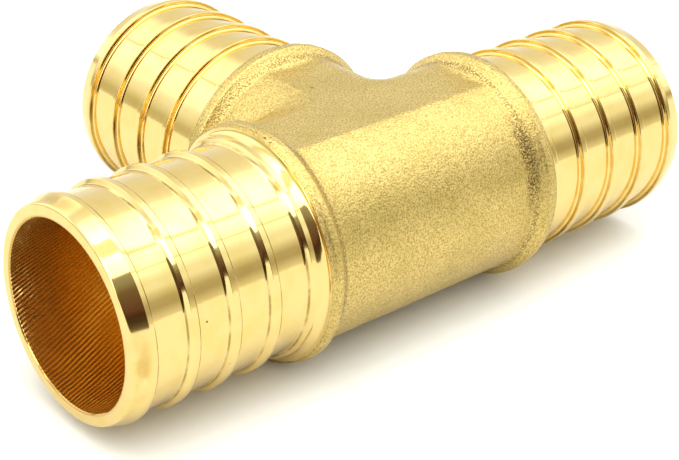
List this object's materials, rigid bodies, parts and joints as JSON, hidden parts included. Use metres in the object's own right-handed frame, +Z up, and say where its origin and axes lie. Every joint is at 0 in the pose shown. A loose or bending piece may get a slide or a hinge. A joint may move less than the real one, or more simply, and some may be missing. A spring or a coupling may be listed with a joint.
{
  "type": "barbed tee connector",
  "caption": "Equal brass tee with barbed spigots and stop collars for crimped flexible pipe, bored through in a T, with a flat on the top and the underside of its forged middle.",
  "frame": {"origin": "centre of the flat on the underside of the forged middle, straight below the crossing of the run's axis and the branch's axis", "axes": "+X along the run, towards the rear spigot; +Y along the branch, towards its free end; +Z up, normal to the plane of the three axes"},
  "size_m": [0.072, 0.0481, 0.0241],
  "materials": {
    "polished_brass": "turned bright, lightly polished",
    "blasted_brass": "forged and shot-blasted, fine matt grain"
  },
  "bodies": {
    "root": {"tee_body": "blasted_brass", "front_run_spigot": "polished_brass", "rear_run_spigot": "polished_brass", "branch_spigot": "polished_brass"}
  },
  "joints": []
}
